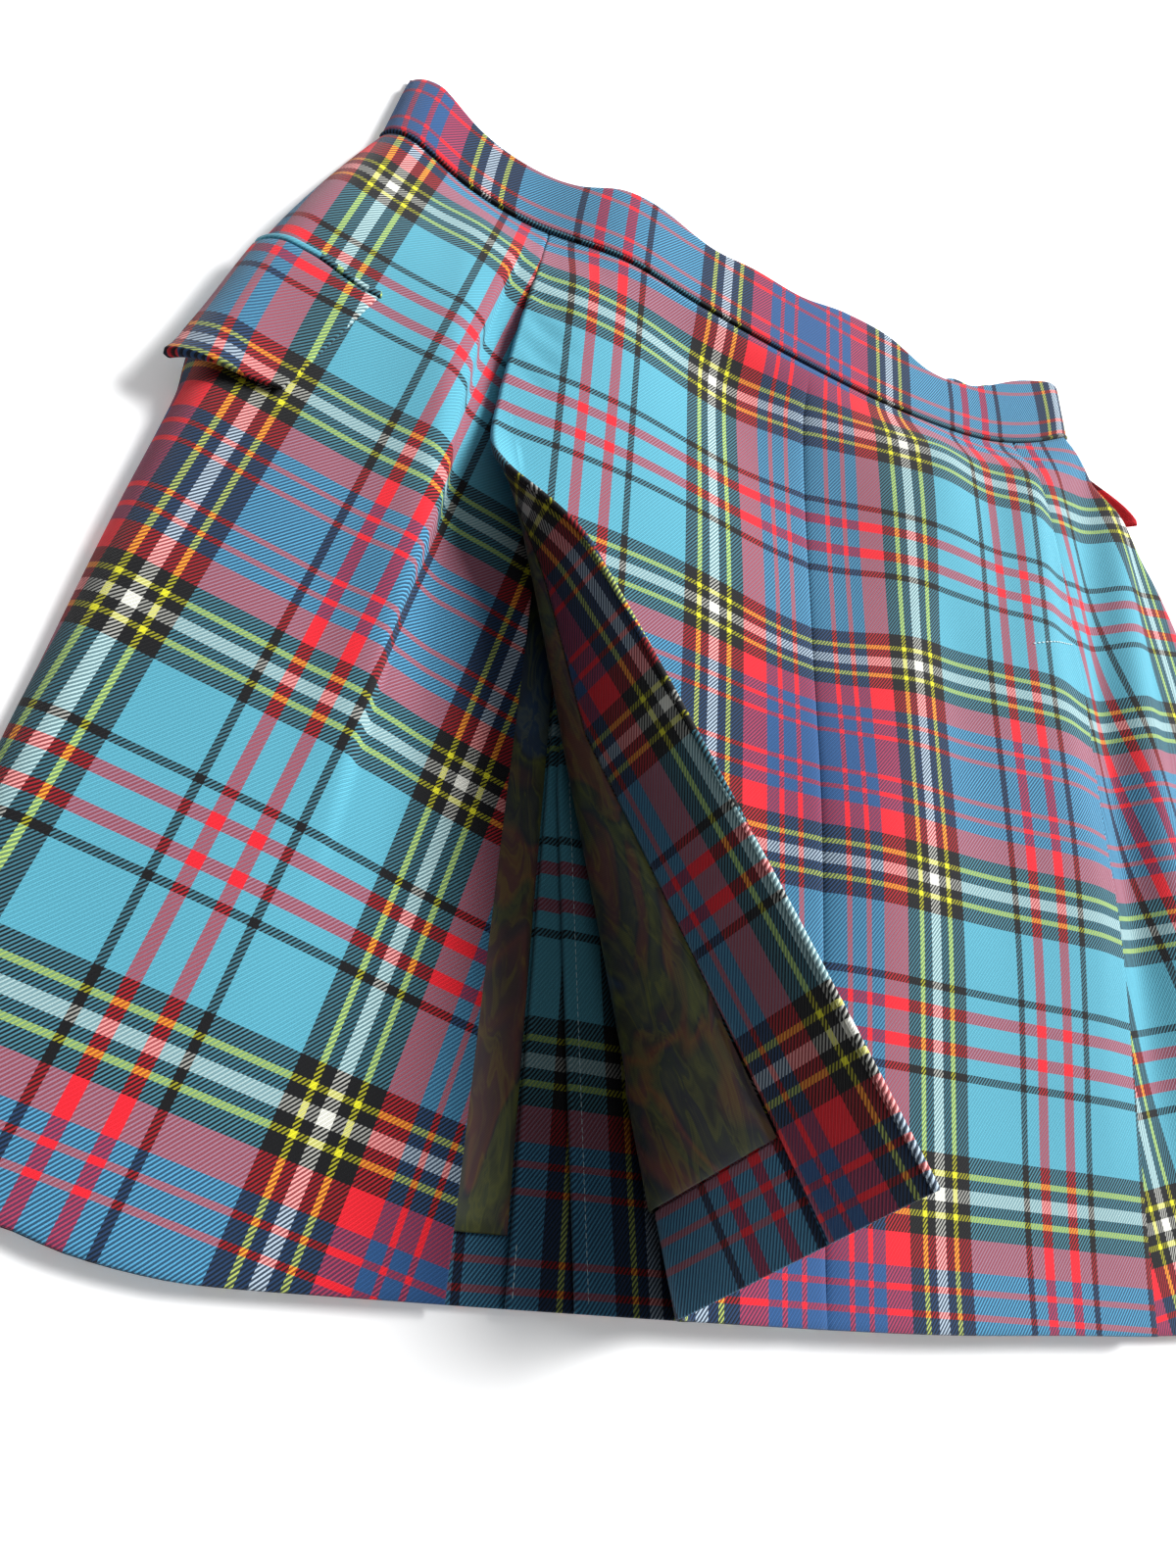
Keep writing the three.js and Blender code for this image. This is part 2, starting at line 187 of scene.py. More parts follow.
RIGHT_WAVE = [
    (0, [(117, 4.5), (150, 5.2), (200, 5.6), (252, 4)]),
    (144, [(113, 6), (130, 10), (144, 10.5), (158, 7), (176, 16), (200, 13), (240, 8)]),
    (240, [(111, 7), (130, 11.5), (142, 11), (155, 7.5), (172, 16.5), (190, 12), (222, 9)]),
    (336, [(108, 7), (130, 14), (148, 12), (162, 10), (176, 12), (190, 9)]),
    (364, WAIST_WAVE),
]
FOLD_LINE = [(60, -172), (120, -166), (177, -159), (206, -154), (231, -149), (277, -146), (310, -142),
             (345, -134), (364, -128)]


def waved(rows, x, y):
    """Height from a table whose last row is the waist seam, so every piece meets there."""
    return field(rows, x, y - (waist_seam(x) - SEAM_AT_CREASE) * ease((y - 250) / 100))


def ripple(x, y, seed):
    """A faint unevenness, under half a millimetre, so that no stretch of cloth is quite smooth."""
    a = np.sin(x / 19.0 + 1.3 * seed) * np.sin(y / 27.0 + 0.7 * seed)
    b = np.sin((x + 0.6 * y) / 14.0 + 2.1 * seed) * np.sin((y - 0.4 * x) / 33.0 + seed)
    return 0.3 * a + 0.16 * b


def pucker(x, y):
    """Small gathers where the closed seam above the free edge pulls on both cloths."""
    near = np.exp(-(((x + 119) / 10) ** 2)) * ease((y - 284) / 14) * ease((352 - y) / 16)
    return 0.42 * near * np.sin((y + 0.5 * x) * 2 * math.pi / 12.5)


def apron_height(x, y):
    pressed = -0.9 * np.exp(-np.sqrt(x * x + 0.03) / 1.1) - 0.9 * np.exp(-np.sqrt(x * x + 0.16) / 6.0)
    fade = ease((waist_seam(x) - 2 - y) / 25)
    small = ripple(x, y, 1) * ease(y / 30) + pressed * ease((y + 20) / 40)
    return waved(APRON_WAVE, x, y) + pucker(x, y) + small * fade


def side_height(side, x, y):
    own = waved(LEFT_WAVE if side < 0 else RIGHT_WAVE, x, y)
    own = own + ripple(x, y, 2 + side) * ease(y / 40) * ease((waist_seam(x) - 2 - y) / 25)
    own = own + pucker(x, y)
    if side > 0:
        own = np.maximum(own, 3.6)
    if side < 0:
        past = x - through(FOLD_LINE, y)
        deep = 5.2 * ease((366 - y) / 60) * ease((y - 90) / 110)
        drop = ease((past + 1.5) / 4.5)
        own = own + deep * (0.75 * (1 - drop) * np.exp(-(((past + 2) / 13) ** 2))
                            - 0.7 * drop * np.exp(-((np.maximum(past - 3, 0) / 15) ** 2)))
        own = np.maximum(own, 4.4)
    room = np.where((side < 0) & (y < 320), 3.4, 1.7)
    clear = 30 * ease((side * x - apron_half(y)) / 12) + (30 * ease((196 - y) / 20) if side < 0 else 0)
    return np.minimum(own, waved(APRON_WAVE, x, y) - room + clear)


# %% [markdown]
# A side panel comes down round the hip to meet the back, so its section is a quarter ellipse and
# then the wave. The apron is a flat pattern piece that turns up along a slanting line: wool bends
# but doesn't stretch, so the turned part is a cone whose tip is where the edge is still sewn.

# %% Forms of the panels
def rim_arc(side, y, rim=GAP + CLOTH, wall=CLOTH, height=side_height):
    top = height(side, side_edge(side, y) - side * (wall / 2 + HIP_ROLL), y) + wall / 2
    return (math.pi / 2) * np.sqrt((HIP_ROLL**2 + (top - rim) ** 2) / 2)


def rim_point(side, y, q, rim=GAP + CLOTH, wall=CLOTH, height=side_height):
    """Middle of a panel at height y up the kilt and distance q in from its rim at the side."""
    y, q = np.broadcast_arrays(np.asarray(y, float), np.asarray(q, float))
    edge = side_edge(side, y)
    inner = edge - side * (wall / 2 + HIP_ROLL)
    top = height(side, inner, y) + wall / 2
    arc = (math.pi / 2) * np.sqrt((HIP_ROLL**2 + (top - rim) ** 2) / 2)
    a = np.clip(q / arc, 0, 1) * math.pi / 2
    x = np.where(q <= arc, edge - side * (wall / 2 + HIP_ROLL * (1 - np.cos(a))), inner - side * (q - arc))
    z = np.where(q <= arc, rim + (top - rim) * np.sin(a), height(side, x, y) + wall / 2)
    return np.stack([x, y, z], -1)


def bend_wide(r):
    return 3 + 0.035 * r


def apron_point(x, y):
    """Middle of the apron where its flat pattern has (x, y)."""
    x, y = np.broadcast_arrays(np.asarray(x, float), np.asarray(y, float))
    u = (VALLEY_HEM - APEX) / np.linalg.norm(VALLEY_HEM - APEX)
    wx, wy = x - APEX[0], y - APEX[1]
    along, out = wx * u[0] + wy * u[1], wx * u[1] - wy * u[0]
    r = np.maximum(np.hypot(wx, wy), 1e-6)
    s = np.arctan2(np.maximum(out, 0), np.maximum(along, 1e-6)) * r
    turn = np.maximum(1e-3, TURN * ease(r / 80))
    bend = bend_wide(r)
    radius = bend / turn
    a = np.minimum(s, bend) / radius
    rest = np.maximum(0, s - bend)
    across = radius * np.sin(a) + rest * np.cos(turn)
    up = radius * (1 - np.cos(a)) + rest * np.sin(turn)
    d = np.stack([u[0] + across / r * u[1], u[1] - across / r * u[0], up / r], -1)
    d *= (r / np.linalg.norm(d, axis=-1))[..., None]
    foot = field(APRON_WAVE, APEX[0] + u[0] * r, APEX[1] + u[1] * r) + CLOTH / 2
    turned = np.stack([APEX[0] + d[..., 0], APEX[1] + d[..., 1], foot + d[..., 2]], -1)
    flat = np.stack([x, y, apron_height(x, y) + CLOTH / 2], -1)
    lifted = (along > 0) & (out > 0)
    return np.where(lifted[..., None], turned, flat)


corner = apron_point(-apron_half(0.0), 0.0)
print("lifted corner, mm:", [round(float(c)) for c in corner])

# %% [markdown]
# Every piece is a grid of points turned into a closed shell: one skin half a wall out, one half a
# wall in, joined round the rim. Near a folded edge the wall thins away so that the edge is round.
# Each corner of the grid also gets its place on the flat cloth, in millimetres, as a UV map.

# %% Shell maker
def facings(grid):
    du, dv = np.gradient(grid, axis=1), np.gradient(grid, axis=0)
    n = np.cross(du, dv)
    return n / np.maximum(np.linalg.norm(n, axis=-1, keepdims=True), 1e-9)


def rounded(distance, wall):
    """Share of the wall left at this distance from a folded edge."""
    t = np.clip(distance / (wall / 2), 0, 1)
    return np.sqrt(np.maximum(1 - (1 - t) ** 2, 0.0016))


def edge_steps(n, wall, length, end=True):
    """Stations from 0 to length, n of them, with extra ones where the edges are rounded."""
    close = np.array([0.0, 0.06, 0.2, 0.45, 0.8]) * wall / 2
    body = np.linspace(0, length, n)
    body = body[(body > wall * 0.8) & (body < length - wall * 0.8)]
    return np.concatenate([close, body, length - close[::-1] if end else np.array([length])])


def make_shell(name, grid, wall, cloth_at, stuff, thinned=None, normals=None):
    """A closed mesh object from a grid of middle points in mm, its flat places and its material."""
    nv, nu = grid.shape[:2]
    n = facings(grid) if normals is None else normals
    half = 0.5 * np.broadcast_to(wall if thinned is None else wall * thinned, (nv, nu))[..., None]
    skins = np.concatenate([(grid + n * half).reshape(-1, 3), (grid - n * half).reshape(-1, 3)])
    top = np.arange(nv * nu).reshape(nv, nu)
    low = top + nv * nu
    faces = [np.stack([top[:-1, :-1], top[:-1, 1:], top[1:, 1:], top[1:, :-1]], -1).reshape(-1, 4),
             np.stack([low[:-1, :-1], low[1:, :-1], low[1:, 1:], low[:-1, 1:]], -1).reshape(-1, 4)]
    for up, down, flip in ((top[0], low[0], False), (top[-1], low[-1], True),
                           (top[:, 0], low[:, 0], True), (top[:, -1], low[:, -1], False)):
        rim = np.stack([down[:-1], down[1:], up[1:], up[:-1]], -1)
        faces.append(rim[:, ::-1] if flip else rim)
    faces = np.concatenate(faces)
    mesh = bpy.data.meshes.new(name)
    mesh.from_pydata(((skins - SHIFT) / 1000).tolist(), [], faces.tolist())
    flat = np.concatenate([cloth_at.reshape(-1, 2)] * 2)
    layer = mesh.uv_layers.new(name="cloth")
    layer.data.foreach_set("uv", flat[faces.reshape(-1)].astype(np.float32).reshape(-1))
    mesh.polygons.foreach_set("use_smooth", [True] * len(faces))
    mesh.materials.append(stuff)
    mesh.update()
    piece = bpy.data.objects.new(name, mesh)
    bpy.context.scene.collection.objects.link(piece)
    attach(piece, "root")
    print(f"{name}: {2 * len(faces)} triangles")
    return piece


def smooth_area(grid):
    """Area of a grid of points in square metres."""
    n = np.cross(grid[:-1, 1:] - grid[:-1, :-1], grid[1:, :-1] - grid[:-1, :-1])
    return float(np.linalg.norm(n, axis=-1).sum()) * 1e-6


# %% [markdown]
# So the material works out the colour of both threads from one list of stripes, and the slanting
# mask picks the one on top. That gives the mauve, the orange and the pale green by itself. The
# list is mirrored at both of its ends.

# %% Colours of the yarns
def yarn(r, g, b):
    """An sRGB colour from 0 to 255 as the linear colour that shaders use."""
    linear = [((c / 255 + 0.055) / 1.055) ** 2.4 if c > 10 else c / 255 / 12.92 for c in (r, g, b)]
    return (*linear, 1.0)


AZURE, CORAL, ROYAL = yarn(88, 170, 192), yarn(243, 32, 48), yarn(42, 86, 138)
INK, MILK, LEMON = yarn(9, 10, 14), yarn(238, 238, 226), yarn(232, 228, 40)
HALF_REPEAT = 96.25
STRIPES = [  # colour and width in mm, from the middle of the azure ground to the middle of the red one
    (AZURE, 3.4), (CORAL, 4.4), (AZURE, 5.0), (INK, 2.8), (AZURE, 23.7),
    (INK, 5.1), (LEMON, 1.9), (INK, 3.4), (MILK, 4.4), (INK, 3.4), (LEMON, 1.9), (INK, 5.1),
    (CORAL, 9.6), (ROYAL, 5.0), (CORAL, 2.1), (ROYAL, 5.0), (CORAL, 2.1), (ROYAL, 7.95),
]
print("half repeat, mm:", round(sum(w for _, w in STRIPES), 2))
THREAD = 0.355


# %% [markdown]
# Small helpers keep node trees readable: one makes a node and joins its inputs, one does sums, and
# others mix, shade and emboss.

# %% Node helpers
def add_node(tree, kind, inputs=None, **settings):
    node = tree.nodes.new(kind)
    for key, value in settings.items():
        setattr(node, key, value)
    for key, value in (inputs or {}).items():
        if isinstance(value, bpy.types.NodeSocket):
            tree.links.new(value, node.inputs[key])
        else:
            node.inputs[key].default_value = value
    return node


def maths(tree, operation, a, b=0.0, c=0.0):
    return add_node(tree, "ShaderNodeMath", {0: a, 1: b, 2: c}, operation=operation).outputs[0]


def blend_colours(tree, share, a, b, kind="MIX"):
    node = add_node(tree, "ShaderNodeMix", {0: share, 6: a, 7: b}, data_type="RGBA", blend_type=kind)
    return node.outputs[2]


def grey_of(tree, value):
    return add_node(tree, "ShaderNodeCombineColor", {0: value, 1: value, 2: value}).outputs[0]


def paint(tree, skin, colour, shade):
    """The colour times a grey, into the shader."""
    shaded = blend_colours(tree, 1.0, colour, grey_of(tree, shade), "MULTIPLY")
    tree.links.new(shaded, skin.inputs["Base Color"])


def surface(skin, values):
    for name, value in values.items():
        skin.inputs[name].default_value = value


def emboss(tree, skin, height, strength, depth):
    bump = add_node(tree, "ShaderNodeBump", {"Height": height, "Strength": strength, "Distance": depth})
    tree.links.new(bump.outputs[0], skin.inputs["Normal"])


def stripes_along(tree, distance):
    """The yarn at a distance across the stripes, mirrored at each end of the list."""
    share = maths(tree, "DIVIDE", maths(tree, "PINGPONG", distance, HALF_REPEAT), HALF_REPEAT)
    ramp = add_node(tree, "ShaderNodeValToRGB", {0: share})
    ramp.color_ramp.interpolation = "CONSTANT"
    at = 0.0
    for k, (colour, width) in enumerate(STRIPES):
        stop = ramp.color_ramp.elements[k] if k < 2 else ramp.color_ramp.elements.new(at / HALF_REPEAT)
        stop.position, stop.color = at / HALF_REPEAT, colour
        at += width
    return ramp.outputs[0]


def new_material(name):
    material = bpy.data.materials.new(name)
    material.use_nodes = True
    tree = material.node_tree
    return material, tree, tree.nodes["Principled BSDF"]


def flat_place(tree):
    place = add_node(tree, "ShaderNodeUVMap", uv_map="cloth")
    parts = add_node(tree, "ShaderNodeSeparateXYZ", {0: place.outputs[0]})
    return place.outputs[0], parts.outputs[0], parts.outputs[1]


# %% [markdown]
# The twill itself: one mask decides which thread is on top, and the same mask gives the slanting
# ribs in the bump and the faint light and dark of a single colour. That light and dark is painted shade:
# the grooves between the ribs and the weft threads, which lie deeper, are drawn darker. From a step away
# the eye mixes the two threads, so most of the colour is that mix, with the lightness of the thread on
# top. Where warp and weft differ in colour, the mix is drawn up to a fifth darker as painted shade
# between the threads. The layers inside the opening get the same cloth darker, at 0.62 of its
# brightness, as painted shade for cloth that lies in its own shade.

# %% Check twill
def check_twill(name, lit=1.0):
    material, tree, skin = new_material(name)
    place, across, up = flat_place(tree)
    slant = maths(tree, "SUBTRACT", maths(tree, "MULTIPLY", across, 1.14), maths(tree, "MULTIPLY", up, 0.87))
    wobble = add_node(tree, "ShaderNodeTexNoise", {"Vector": place, "Scale": 0.9, "Detail": 2.0})
    slant = maths(tree, "ADD", slant, maths(tree, "MULTIPLY", wobble.outputs[0], 0.16))
    float_share = maths(tree, "DIVIDE", maths(tree, "PINGPONG", slant, 2 * THREAD), 2 * THREAD)
    on_top = add_node(tree, "ShaderNodeMapRange", {0: float_share, 1: 0.44, 2: 0.56}).outputs[0]
    weft, warp = stripes_along(tree, up), stripes_along(tree, across)
    top = blend_colours(tree, on_top, weft, warp)
    light = [add_node(tree, "ShaderNodeRGBToBW", {0: c}).outputs[0]
             for c in (top, blend_colours(tree, 0.5, weft, warp))]
    share = maths(tree, "DIVIDE", maths(tree, "ADD", light[0], 0.02), maths(tree, "ADD", light[1], 0.02))
    seen = [add_node(tree, "ShaderNodeGamma", {0: c, 1: 0.45}).outputs[0] for c in (weft, warp)]
    both = add_node(tree, "ShaderNodeGamma", {0: blend_colours(tree, 0.5, *seen), 1: 2.22}).outputs[0]
    colour = blend_colours(tree, 0.8, top, blend_colours(tree, 1.0, both, grey_of(tree, share), "MULTIPLY"))
    apart = add_node(tree, "ShaderNodeVectorMath", {0: weft, 1: warp}, operation="DISTANCE").outputs["Value"]
    # Painted shade: where warp and weft differ in colour the cloth is drawn up to a fifth darker, for the
    # shade the threads cast on each other.
    painted_mix_shade = add_node(tree, "ShaderNodeMapRange", {0: apart, 1: 0.1, 2: 0.9, 3: 1.0, 4: 0.8}).outputs[0]
    ridge = maths(tree, "ABSOLUTE", maths(tree, "SUBTRACT", maths(tree, "MULTIPLY", float_share, 2.0), 1.0))
    ridge = maths(tree, "POWER", ridge, 0.5)
    fuzz = add_node(tree, "ShaderNodeTexNoise", {"Vector": place, "Scale": 2.6, "Detail": 3.0})
    # Painted shade: the grooves between the twill's ribs are drawn up to a fifth darker, and the weft
    # threads, which lie deeper, are darker again.
    shade = maths(tree, "MULTIPLY_ADD", ridge, 0.2, 0.82)
    shade = maths(tree, "MULTIPLY", shade, maths(tree, "MULTIPLY_ADD", on_top, 0.24, 0.84))
    shade = maths(tree, "MULTIPLY", shade, maths(tree, "MULTIPLY_ADD", fuzz.outputs[0], 0.16, 0.92))
    shade = maths(tree, "MULTIPLY", shade, maths(tree, "MULTIPLY", painted_mix_shade, lit))
    paint(tree, skin, colour, shade)
    ribs = maths(tree, "MULTIPLY_ADD", on_top, 0.6, ridge)
    emboss(tree, skin, maths(tree, "MULTIPLY_ADD", fuzz.outputs[0], 0.5, ribs), 0.7, 0.0002)
    surface(skin, {"Roughness": 0.82, "Specular IOR Level": 0.22,
                   "Sheen Weight": 0.12, "Sheen Roughness": 0.5})
    return material


TWILL = check_twill("wool check twill")
# A copy of the twill drawn at 0.62 of its brightness: painted shade for the pleats, the facing and the
# turned-up hem inside the opening.
TWILL_PAINTED_SHADE = check_twill("wool check twill, painted shade for inner layers", 0.62)
print("nodes in the twill:", len(TWILL.node_tree.nodes))


# %% [markdown]
# The lining is a satin printed with a marbled swirl in slate, olive, blue and rust. A swirl is noise
# read at a place that other noise has pushed about, so its bands fold over like stirred paint. Its
# colours are then multiplied by a grey between 0.48 and 0.64 that follows the satin's slanting grain:
# the lines are the weave, and the low level is painted shade for the opening the lining lies in.

# %% Marbled lining
def marbled_satin(name):
    material, tree, skin = new_material(name)
    place, across, up = flat_place(tree)

    def stirred(scale, push, seed, detail):
        """Noise read at a place that slower noise has pushed about, drawn out along the cloth."""
        first = add_node(tree, "ShaderNodeVectorMath", {0: place, 1: scale, 2: (seed, seed, seed)},
                         operation="MULTIPLY_ADD").outputs[0]
        slow = add_node(tree, "ShaderNodeTexNoise", {"Vector": first, "Scale": 1.0, "Detail": 2.0})
        pushed = {0: slow.outputs["Color"], 1: (push, push, 0.0), 2: first}
        there = add_node(tree, "ShaderNodeVectorMath", pushed, operation="MULTIPLY_ADD").outputs[0]
        return add_node(tree, "ShaderNodeTexNoise", {"Vector": there, "Scale": 1.0, "Detail": detail,
                                                     "Roughness": 0.62}).outputs[0]

    def painted(value, paints):
        ramp = add_node(tree, "ShaderNodeValToRGB", {0: value})
        for k, (at, colour) in enumerate(paints):
            stop = ramp.color_ramp.elements[k] if k < 2 else ramp.color_ramp.elements.new(at)
            stop.position, stop.color = at, colour
        return ramp.outputs[0]

    ground = painted(stirred((0.02, 0.011, 0.0), 1.9, 3.0, 3.0), [
        (0.0, yarn(34, 42, 46)), (0.36, yarn(44, 90, 140)), (0.42, yarn(34, 46, 50)),
        (0.475, yarn(100, 108, 40)), (0.52, yarn(44, 46, 42)), (0.56, yarn(150, 72, 42)),
        (0.62, yarn(40, 44, 46)), (0.68, yarn(92, 100, 44)), (1.0, yarn(48, 58, 58))])
    strokes = painted(stirred((0.075, 0.02, 0.0), 2.6, 8.0, 5.0), [
        (0.0, yarn(32, 36, 34)), (0.4, yarn(52, 60, 48)), (0.47, yarn(140, 146, 66)), (0.5, yarn(56, 76, 72)),
        (0.55, yarn(38, 54, 84)), (0.62, yarn(120, 124, 84)), (1.0, yarn(36, 42, 42))])
    swirl = blend_colours(tree, 0.4, ground, strokes)
    grain = maths(tree, "PINGPONG", maths(tree, "SUBTRACT", across, up), 0.35)
    # Painted shade: this grey keeps the lining at about half to two thirds of its colour, as it lies in shade
    # inside the opening; its rise and fall follows the satin's grain.
    shade = maths(tree, "MULTIPLY_ADD", grain, 0.45, 0.48)
    paint(tree, skin, swirl, shade)
    emboss(tree, skin, grain, 0.4, 0.0001)
    surface(skin, {"Roughness": 0.48, "Specular IOR Level": 0.35, "Sheen Weight": 0.1})
    return material


SATIN = marbled_satin("marbled satin lining")
print("nodes in the lining:", len(SATIN.node_tree.nodes))


# %% [markdown]
# Sewing thread and zip tape need no pattern: one colour, made a little uneven by noise. A flat
# colour would do as well from far off, but close up real yarn is never one tone.

# %% Thread and tape
def plain_yarn(name, colour, rough):
    material, tree, skin = new_material(name)
    fuzz = add_node(tree, "ShaderNodeTexNoise", {"Vector": flat_place(tree)[0], "Scale": 3.0, "Detail": 2.0})
    shade = add_node(tree, "ShaderNodeMapRange", {0: fuzz.outputs[0], 3: 0.75, 4: 1.1}).outputs[0]
    paint(tree, skin, colour, shade)
    emboss(tree, skin, fuzz.outputs[0], 0.5, 0.0001)
    surface(skin, {"Roughness": rough})
    return material


STITCHING = plain_yarn("pale sewing thread", yarn(205, 228, 232), 0.6)
TAPE = plain_yarn("zip tape", yarn(50, 100, 140), 0.8)
print("materials:", [m.name for m in bpy.data.materials])


# %% [markdown]
# Each panel is cut with its check at its own angle. The front runs square to the crease. A side
# panel flares, so its grain leans outwards on the way down. These functions give the place on the
# cloth, measured from the middle of an azure square.

# %% Grain of each panel
LEAN = math.radians(14.6)
CHECK_ACROSS, CHECK_UP = HALF_REPEAT, 286.15


def grain_front(x, y):
    dip = 9 * np.exp(-(((x + 5) / 42) ** 2)) * np.exp(-(((y - 236) / 45) ** 2))
    return np.stack([x - CHECK_ACROSS, y + dip - CHECK_UP], -1)


def grain_side(side, x, y):
    a, b = -side * x + 107.5, y - 230.1
    u = a * math.cos(LEAN) - b * math.sin(LEAN)
    v = a * math.sin(LEAN) + b * math.cos(LEAN)
    return np.stack([-side * (u + 50.25), v - 50.25], -1)


# %% [markdown]
# The front apron hangs from the waist, its right side folded under and its left edge free below the
# hip. Wool cut for an edge like that is turned back on itself, so the shell runs on round a small
# roll at the free edge and meets the facing behind.

# %% Front apron
EDGE_ROLL = (CLOTH / 2 + GAP + THIN / 2) / 2
PAST_VALLEY = 45.0
CREASE = np.array([-2.4, -1.3, -0.6, -0.25, 0.0, 0.25, 0.6, 1.3, 2.4])


def apron_columns(y, counts=(26, 6, 14, 20, 22)):
    edge, half = -apron_half(y), apron_right(y)
    r = np.hypot(APEX[1] - y, valley_x(y) - APEX[0])
    valley = max(valley_x(y) if y < APEX[1] else edge, edge + 6)
    faced = min(edge + FACING_WIDE, edge + 0.7 * (valley - edge))
    bent = max(faced + GAP + 0.4, valley - 1.06 * bend_wide(r))
    past = min(valley + PAST_VALLEY, CREASE[0] - 2)
    stops = [edge, faced + GAP, bent, valley, past, CREASE[0]]
    line = [np.linspace(stops[k], stops[k + 1], counts[k] + 1)[(k > 0):] for k in range(5)]
    line = np.concatenate(line + [CREASE[1:], np.linspace(CREASE[-1], half, 46)[1:]])
    close = half - np.array([0.8, 0.45, 0.2, 0.06, 0.0]) * CLOTH / 2
    return np.concatenate([line[:-1], close])


levels = edge_steps(150, CLOTH, FRONT_LONG, end=False)
flat_x = np.array([apron_columns(float(y)) for y in levels])
flat_y = np.repeat(levels[:, None], flat_x.shape[1], 1)
rise = np.clip((flat_y - 300) / 72, 0, 1)
flat_y = np.where(flat_y > 300, mix(300, waist_seam(flat_x) - SEAM_HALF, rise), flat_y)
flat_y = from_hem(flat_x, flat_y)
body = apron_point(flat_x, flat_y)
n_body = facings(body)
outward = body[:, 0] - body[:, 1]
outward /= np.linalg.norm(outward, axis=-1, keepdims=True)
roll = []
for a in np.linspace(math.pi, 0, 9)[:-1]:
    roll.append(body[:, 0] + outward * EDGE_ROLL * math.sin(a) - n_body[:, 0] * EDGE_ROLL * (1 - math.cos(a)))
apron_grid = np.concatenate([np.stack(roll, 1), body], 1)
n_apron = facings(apron_grid)
lay_x = np.concatenate([flat_x[:, :1] - EDGE_ROLL * np.linspace(math.pi, 0, 9)[:-1], flat_x], 1)
lay_y = np.concatenate([np.repeat(flat_y[:, :1], 8, 1), flat_y], 1)
thinned = rounded(apron_right(lay_y) - lay_x, CLOTH) * rounded(levels, CLOTH)[:, None]
apron = make_shell("front_apron_cloth", apron_grid, CLOTH, grain_front(lay_x, lay_y), TWILL, thinned, n_apron)
apron_area = smooth_area(apron_grid)


# %% [markdown]
# Behind the free edge lie the facing, the turned-up hem and the lining. All three are the apron's
# own points moved in along its normals, so they follow every bend. The lining is slipped on with
# some ease, so it stands a little off and has a tuck near its lower edge.

# %% Inside of the apron
def apron_normal(x, y, e=0.35):
    a = apron_point(x + e, y) - apron_point(x - e, y)
    b = apron_point(x, y + e) - apron_point(x, y - e)
    n = np.cross(a, b)
    return n / np.linalg.norm(n, axis=-1, keepdims=True)


def behind_apron(x, y, depth):
    return apron_point(x, y) - apron_normal(x, y) * depth[..., None]


BEHIND = CLOTH / 2 + GAP + THIN / 2


def inner_columns(y, first, last, n):
    """Columns between two of the apron's lines, closer together where the cloth bends."""
    r = np.hypot(APEX[1] - y, valley_x(y) - APEX[0])
    bend_start = valley_x(y) - 1.1 * bend_wide(r)
    a, b = first(y), last(y)
    if b <= bend_start or a >= valley_x(y):
        return np.linspace(a, b, n)
    m = max(a + 0.2, bend_start)
    v = max(m + 0.2, min(b - 0.2, valley_x(y)))
    k = n // 3
    parts = [np.linspace(a, m, k + 1), np.linspace(m, v, k + 1)[1:], np.linspace(v, b, n - 2 * k)[1:]]
    return np.concatenate(parts)


def inner_piece(name, first, last, ys, n, stuff, grain, extra=None):
    """One of the pieces behind the apron, between two lines down it, with its area."""
    x = np.array([inner_columns(float(y), first, last, n) for y in ys])
    y = from_hem(x, np.repeat(ys[:, None], x.shape[1], 1))
    depth = BEHIND + (0 if extra is None else extra(x, y))
    grid = behind_apron(x, y, np.broadcast_to(depth, x.shape))
    from_side = np.minimum(np.abs(x - x[:, :1]), np.abs(x[:, -1:] - x))
    from_end = np.minimum(ys - ys[0], ys[-1] - ys)
    thin = rounded(from_side, THIN) * rounded(from_end, THIN)[:, None]
    piece = make_shell(name, grid, THIN, grain(x, y), stuff, thin)
    return piece, smooth_area(grid)


def apron_free_edge(y):
    return -apron_half(y)


def faced_to(y):
    valley = max(valley_x(y) if y < APEX[1] else -apron_half(y), -apron_half(y) + 6)
    return min(-apron_half(y) + FACING_WIDE, -apron_half(y) + 0.7 * (valley + apron_half(y)))


def grain_turned(x, y):
    """Facing: the same cloth, seen past the fold."""
    return grain_front(-2 * apron_half(y) - math.pi * EDGE_ROLL - x, y)


def grain_hem(x, y):
    return grain_front(x, -y)


facing, facing_area = inner_piece("apron_facing_cloth", apron_free_edge, faced_to,
                                  edge_steps(90, THIN, 264.0), 22, TWILL_PAINTED_SHADE, grain_turned)
turnup, turnup_area = inner_piece("apron_hem_turnup_cloth", lambda y: faced_to(y) + GAP,
                                  lambda y: valley_x(y) + PAST_VALLEY,
                                  edge_steps(12, THIN, TURNUP_HIGH), 40, TWILL_PAINTED_SHADE, grain_hem)


def lining_ease(x, y):
    off = 0.25 + 0.35 * np.sin(x / 13 + y / 40) * np.sin(y / 26) + 0.3
    tuck = 0.8 * ease((62 - y) / 1.5)
    return np.maximum(0, off) * ease((x - (-apron_half(y) + 36)) / 12) + tuck


lining, lining_area = inner_piece("apron_lining_satin", lambda y: faced_to(y) + GAP,
                                  lambda y: max(valley_x(y), faced_to(y) + GAP) + PAST_VALLEY,
                                  TURNUP_HIGH + GAP + edge_steps(90, THIN, 216.0), 48, SATIN,
                                  lambda x, y: np.stack([x, y], -1), lining_ease)
for piece, node in ((apron, "front_apron"), (facing, "apron_facing"), (turnup, "apron_hem_turnup"),
                    (lining, "apron_lining")):
    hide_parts(node)

# %% [markdown]
# The side panels come next. Rows run from hem to waist seam and columns from the rim at the side,
# round the hip and in to the folded edge that tucks under the apron.


